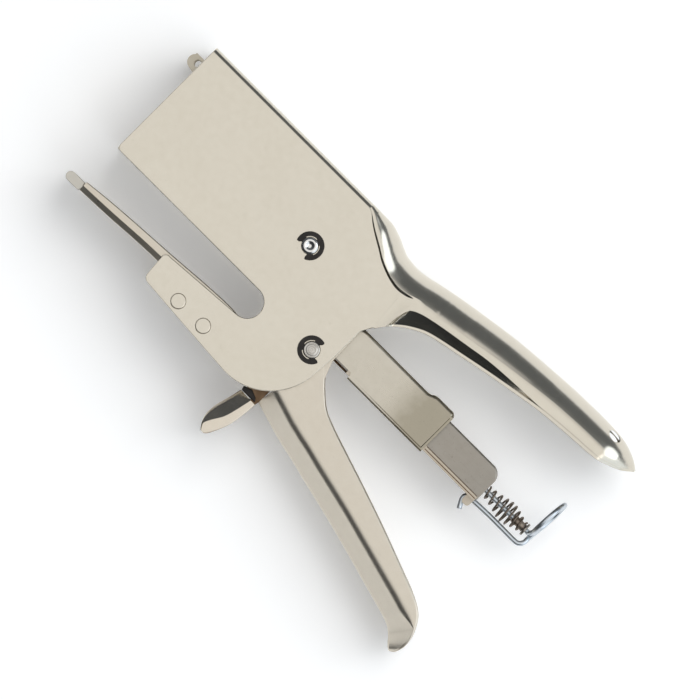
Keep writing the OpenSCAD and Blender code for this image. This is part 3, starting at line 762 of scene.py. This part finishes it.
# ---------------------------------------------------------------- magazine
swell = spline([(32.6, 15.1, 0), (33.6, 15.3, 0), (34.8, 16.0, 0), (36, 16.2, 0)], 3)
cover_line = ([(-80.2, 1.5), (-80.2, 15.1)] + [(v.x, v.y) for v in swell] + arc((41.4, 14.6), 1.6, 90, 0, 8)
              + [(43, 1.3), (13, 1.3), (13, 2.6), (12.6, 3.3), (5.9, 3.3), (5.2, 2.4)]
              + arc((0, 0), 5.2, 16, -196, 48))
cover = roll(prism("cover", cover_line, -COVER_HALF, COVER_HALF), lambda p: p.y > 13.7 and p.x < 42.9, 1.3)
roll(cover, lambda p: abs(p.y - 1.3) < 0.01 and p.x > 12.9, 0.7, 5)
inside = [(-90, -20), (-90, 14.5), (33.1, 14.5), (35.6, 15.6), (41.3, 15.6), (42.4, 14.5), (50, 14.5),
          (50, -20)]
cover = cut(cover, prism("inside", inside, -COVER_IN, COVER_IN))
cover = cut(cover, prism("nose", [(-81, 3), (-79, 3), (-79, 16), (-81, 16)], -COVER_IN, COVER_IN))
cover = drill(cover, *HANDLE_PIN, PIN_HOLE)
soften(cover, 0.14, 2, 50, 26)
lips = []
for z0, z1 in ((4.8, 6.75), (-6.75, -4.8)):
    lip = prism("lip", [(-76, 1.5), (-5.5, 1.5), (-5.5, 2.2), (-76, 2.2)], z0, z1)
    lips.append(soften(lip, 0.14, 2, 50, 30))
cover = place(join("magazine_cover_fine", [cover] + lips))
# Lines scored along its lip and up its rear end
cover = groove(cover, (13.2, 2.3), (42.2, 2.3), 0.2, COVER_HALF, 0.3)
cover = groove(cover, (42.2, 2.3), (42.2, 14.2), 0.16, COVER_HALF, 0.2)
soften(cover, 0, 1, 50, 26)
finish_piece(cover, magazine_nickel, "magazine_steel", "magazine_body", "magazine_cover")


def rod_circle(x, r, n):
    """Circle of n points round the latch rod's axis, at x."""
    turn = [2 * math.pi * k / n for k in range(n)]
    return [(x, ROD_Y + r * math.cos(a), r * math.sin(a)) for a in turn]


def rod_hole(x0, x1):
    return solid("rod_hole", [rod_circle(x, WIRE_R + 0.1, 32) for x in (x0, x1)])


rail_line = [(-79.1, 3), (-79.1, 13.7)] + arc((61.0, 10.3), 3.4, 90, 0, 12) + [(64.4, 3)]
rail = roll(prism("rail", rail_line, -RAIL_HALF, RAIL_HALF), lambda p: p.y > 3.1 and -79 < p.x < 64.3, 0.8)
inside = [(-90, -5), (-90, 13), (60.6, 13), (63.7, 10), (63.7, -5)]
rail = cut(rail, prism("inside", inside, -RAIL_IN, RAIL_IN))
rail = cut(rail, prism("slot", [(-74, 5), (46, 5), (46, 20), (-74, 20)], -1, 1))
rail = cut(rail, rod_hole(62, 67))
rail = cut(rail, prism("wire_gap", [(63, 2), (65, 2), (65, 3.6), (63, 3.6)], -1.15, 1.15))
soften(rail, 0.12, 2, 50, 26)
guide = prism("guide", [(50, 3.2), (50.8, 3.2), (50.8, 13.2), (50, 13.2)], -5.2, 5.2)
guide = soften(cut(guide, rod_hole(49, 52)), 0.1, 2, 50, 30)
rail = place(join("staple_rail_fine", [rail, guide]))
finish_piece(rail, rail_nickel, "magazine_steel", "feed_body", "staple_rail")

# ---------------------------------------------------------------- latch and springs
loop = []
for degrees in range(-60, 241, 20):
    a = math.radians(degrees)
    y = LOOP_Y + LOOP_R * math.sin(a)
    loop.append((82.5 + 1.2 * y / 20 - 0.55 * math.cos(a), y, LOOP_R * math.cos(a)))
hook = [(63, 2.3, 0), (62, 2.1, 0), (61.35, 1.5, 0), (61.2, 0.6, 0), (61.6, -0.4, 0), (62.15, -1.4, 0),
        (62.7, -2.4, 0)]
leg = [(83, 5.6, -1), (82.9, 4, -0.2), (82.2, 2.9, 0), (80.8, 2.4, 0), (76, 2.4, 0), (70, 2.4, 0),
       (64.4, 2.2, 0)]
rod = [(x, ROD_Y, 0) for x in (54, 62, 70, 76, 80.9, 82)]
wire = place(tube("latch_wire_fine", spline(rod + loop + leg + hook, 5), WIRE_R, 24))
finish_piece(wire, zinc, "zinc_wire", "latch_body", "latch_wire")

# Eight turns that widen to a barrel
coil_x = along(list(enumerate((64.85, 66.8, 69, 70.95, 72.6, 74.2, 75.9, 77.7, 79.65))))
coil = []
for i in range(8 * 30 + 1):
    turns = i / 30
    a = 2 * math.pi * turns
    q = 1.75 + 1.5 * abs(math.sin(math.pi * (turns / 8) ** 1.15)) ** 1.8
    sag = 0.15 * math.sin(math.pi * turns / 8)
    coil.append((coil_x(turns), ROD_Y - sag + q * math.cos(a), q * math.sin(a)))
latch_coil = place(tube("latch_spring_fine", coil, 0.3, 12))
finish_piece(latch_coil, spring_brown, "spring_steel", "feed_body", "latch_spring")
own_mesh(latch_coil)

feed_turns = 34
feed_coil = []
for i in range(feed_turns * 24 + 1):
    a = 2 * math.pi * i / 24
    feed_coil.append((-62.2 + 111.7 * i / (feed_turns * 24), 8 + 3.5 * math.cos(a), 3.5 * math.sin(a)))
feed_spring = place(tube("pusher_spring_fine", feed_coil, 0.35, 8))
finish_piece(feed_spring, spring_brown, "spring_steel", "feed_body", "pusher_spring")
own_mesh(feed_spring)

clamp_turns = 7
clamp = []
for i in range(clamp_turns * 28 + 1):
    a = 2 * math.pi * i / 28
    clamp.append((-55 + 4 * math.cos(a), 15.65 + 20 * i / (clamp_turns * 28), 4 * math.sin(a)))
clamp_spring = place(tube("clamp_spring_fine", clamp, 0.5, 12))
finish_piece(clamp_spring, grey_steel, "spring_steel", "magazine_body", "clamp_spring")
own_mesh(clamp_spring)

# Four turns and a bit round the lever's pin, with a leg at each end
turned = []
for i in range(4 * 28 + 11):
    a = math.radians(-120 + 360 * i / 28)
    turned.append((LEVER_PIN[0] + 4.1 * math.cos(a), LEVER_PIN[1] + 4.1 * math.sin(a), -4 + 1.7 * i / 28))
tip = Vector(turned[-1])
torsion = [(-40, 34.2, -4), (-36, 29.8, -4), (-32, 25.3, -4), (-28, 21.0, -4)] + turned
torsion += [tuple(tip + Vector(v)) for v in ((2.2, 4.2, 0.2), (4.5, 9, 0.4), (5.5, 15, 0.4))]
finish_piece(place(tube("return_spring_fine", torsion, 0.65, 12)), grey_steel, "spring_steel", "lever_body",
             "return_spring")

for name, r_in, r_out, x0, x1, material, slot in (
        ("latch_sleeve", 0.86, 1.3, 75.6, 80.05, sleeve_brown, "spring_steel"),
        ("latch_collar", 0.86, 2.1, 80.12, 80.83, collar_steel, "spring_steel")):
    e = 0.12
    profile = [(r_in, x0 + e), (r_in + e, x0), (r_out - e, x0), (r_out, x0 + e), (r_out, x1 - e),
               (r_out - e, x1), (r_in + e, x1), (r_in, x1 - e), (r_in, x0 + e)]
    rings = [rod_circle(x, r, 48) for r, x in profile]
    ring = outward(loft(name + "_fine", rings, caps=False), merge=1e-5)
    ring.data.shade_smooth()
    ring.data.set_sharp_from_angle(angle=math.radians(50))
    finish_piece(place(ring), material, slot, "latch_body", name)

# ---------------------------------------------------------------- the rest, from the CAD's own shapes
for node, width, material, slot, body in (
        ("magazine_base", 0.12, base_nickel, "magazine_steel", "magazine_body"),
        ("nose_plate", 0.12, magazine_nickel, "magazine_steel", "magazine_body"),
        ("pivot_washers", 0.1, grey_steel, "pin_steel", "magazine_body"),
        ("driver_lever", 0.3, lever_steel, "tool_steel", "lever_body"),
        ("lever_bush", 0.15, grey_steel, "pin_steel", "lever_body"),
        ("driver_blade", 0.1, hard_steel, "tool_steel", "blade_body"),
        ("drive_studs", 0.15, grey_steel, "pin_steel", "lower_handle_body"),
        ("pusher", 0.15, grey_steel, "magazine_steel", "pusher_body")):
    piece = refined(node, width, material, slot, body)
    if node == "magazine_base":
        # A slanting gap below the cover's raised edge, and two scored lines along the strip behind it
        for side in (1, -1):
            gap = [[(3, 1, side * 9), (11.7, 1, side * 9), (11.7, 5, side * 9), (3, 5, side * 9)],
                   [(3, 1, side * 1.5), (11.7, 1, side * 1.5), (11.7, 5, side * 7), (3, 5, side * 7)]]
            piece = cut(piece, place(solid("gap", gap)))
        for y in (2.9, 3.85):
            piece = groove(piece, (43.3, y), (63.8, y), 0.18, 6.65, 0.28)
        soften(piece, 0, 1, 50, 32)
        # The faces in the slanting gap and on the two scored lines are coloured dark brown as painted shade
        piece.data.materials.append(painted_shade_brown)
        for face in piece.data.polygons:
            at, facing = PLACE.inverted() @ face.center, abs(face.normal.z)
            scored = 43 < at.x < 64 and 6.3 < abs(at.z) < 6.6 and 0.3 < facing < 0.6
            face.material_index = 1 if scored or (at.x < 11.75 and facing > 0.3) else 0


# ---------------------------------------------------------------- stage
floor = from_faces("floor", [(x, y, -0.0001) for x, y in circle((0, 0), 4.0, 64)], [tuple(range(64))])
floor_paint = bpy.data.materials.new("floor_paint")
floor_paint.use_nodes = True
paint = floor_paint.node_tree.nodes["Principled BSDF"]
paint.inputs["Base Color"].default_value = (0.93, 0.93, 0.93, 1)
paint.inputs["Roughness"].default_value = 0.9
paint.inputs["Specular IOR Level"].default_value = 0.0
paint.inputs["Emission Color"].default_value = (1, 0.997, 0.99, 1)
paint.inputs["Emission Strength"].default_value = 0.20
floor.data.materials.append(floor_paint)

world = bpy.data.worlds.new("studio")
bpy.context.scene.world = world
world.use_nodes = True
w = Nodes(world.node_tree)
background = world.node_tree.nodes["Background"]
direction = w.add("ShaderNodeTexCoord").outputs["Generated"]
height = w.add("ShaderNodeSeparateXYZ", {0: direction}).outputs


def toward(v):
    """Cosine of the angle between the direction looked in and v."""
    return w.add("ShaderNodeVectorMath", {0: direction, 1: v}, operation="DOT_PRODUCT").outputs["Value"]


# A white dome overhead, a dark room below it that brightens towards +Y, and a faint glow at the horizon
lean = w.math("MULTIPLY_ADD", height[1], 0.1, height[2])
dome = w.ramp(lean, (0.0, 0.0), (0.755, 0.0), (0.845, 1.0), (1.0, 1.0))
dark = w.math("MULTIPLY_ADD", height[1], 0.065, 0.095)
low = w.ramp(height[2], (0.0, 0.08), (0.2, 0.0), (1.0, 0.0))
room = w.math("ADD", low, w.math("MAXIMUM", dome, dark))

# The lamp whose reflection lights the bulge of the grip, and a broad glow on the +X side
key_zenith, key_azimuth = math.radians(58), math.radians(39)
side_zenith, side_azimuth = math.radians(60), math.radians(82)
key = toward((math.sin(key_zenith) * math.sin(key_azimuth), math.sin(key_zenith) * math.cos(key_azimuth),
              math.cos(key_zenith)))
side = toward((math.sin(side_zenith), math.sin(side_zenith) * math.cos(side_azimuth), math.cos(side_zenith)))
lit = w.math("MULTIPLY_ADD", w.ramp(key, (0.950, 0.0), (0.962, 1.0)), 1.9, room)
lit = w.math("MULTIPLY_ADD", w.ramp(side, (0.80, 0.0), (0.90, 1.0)), 1.1, lit)

# The backdrop itself is an even near-white
seen = w.add("ShaderNodeLightPath").outputs["Is Camera Ray"]
light = w.add("ShaderNodeMix", {0: seen}, data_type="FLOAT")
w.tree.links.new(lit, light.inputs[2])
light.inputs[3].default_value = 0.97
w.tree.links.new(light.outputs[0], background.inputs["Strength"])
tint = w.ramp(lean, (0.74, (0.86, 0.93, 1.0)), (0.84, (1.0, 0.995, 0.985)))
w.tree.links.new(tint, background.inputs["Color"])

sun = bpy.data.objects.new("sun", bpy.data.lights.new("sun", "SUN"))
bpy.context.scene.collection.objects.link(sun)
sun.data.energy, sun.data.angle = 1.15, math.radians(50)
sun.visible_glossy = False
sun.rotation_euler = Vector((0.15, 0.85, 1.0)).to_track_quat("Z", "Y").to_euler()

# Straight above from 3 m, with +X towards the picture's lower right
camera = bpy.data.objects.new("camera", bpy.data.cameras.new("camera"))
bpy.context.scene.collection.objects.link(camera)
bpy.context.scene.camera = camera
camera.data.lens, camera.data.sensor_width = 532.3, 36.0
camera.data.clip_start, camera.data.clip_end = 0.1, 20.0
camera.location = (0.0055, 0.00775, 3.0126)
camera.rotation_euler = (0, 0, math.radians(45))
bpy.context.scene.view_settings.view_transform = "Standard"
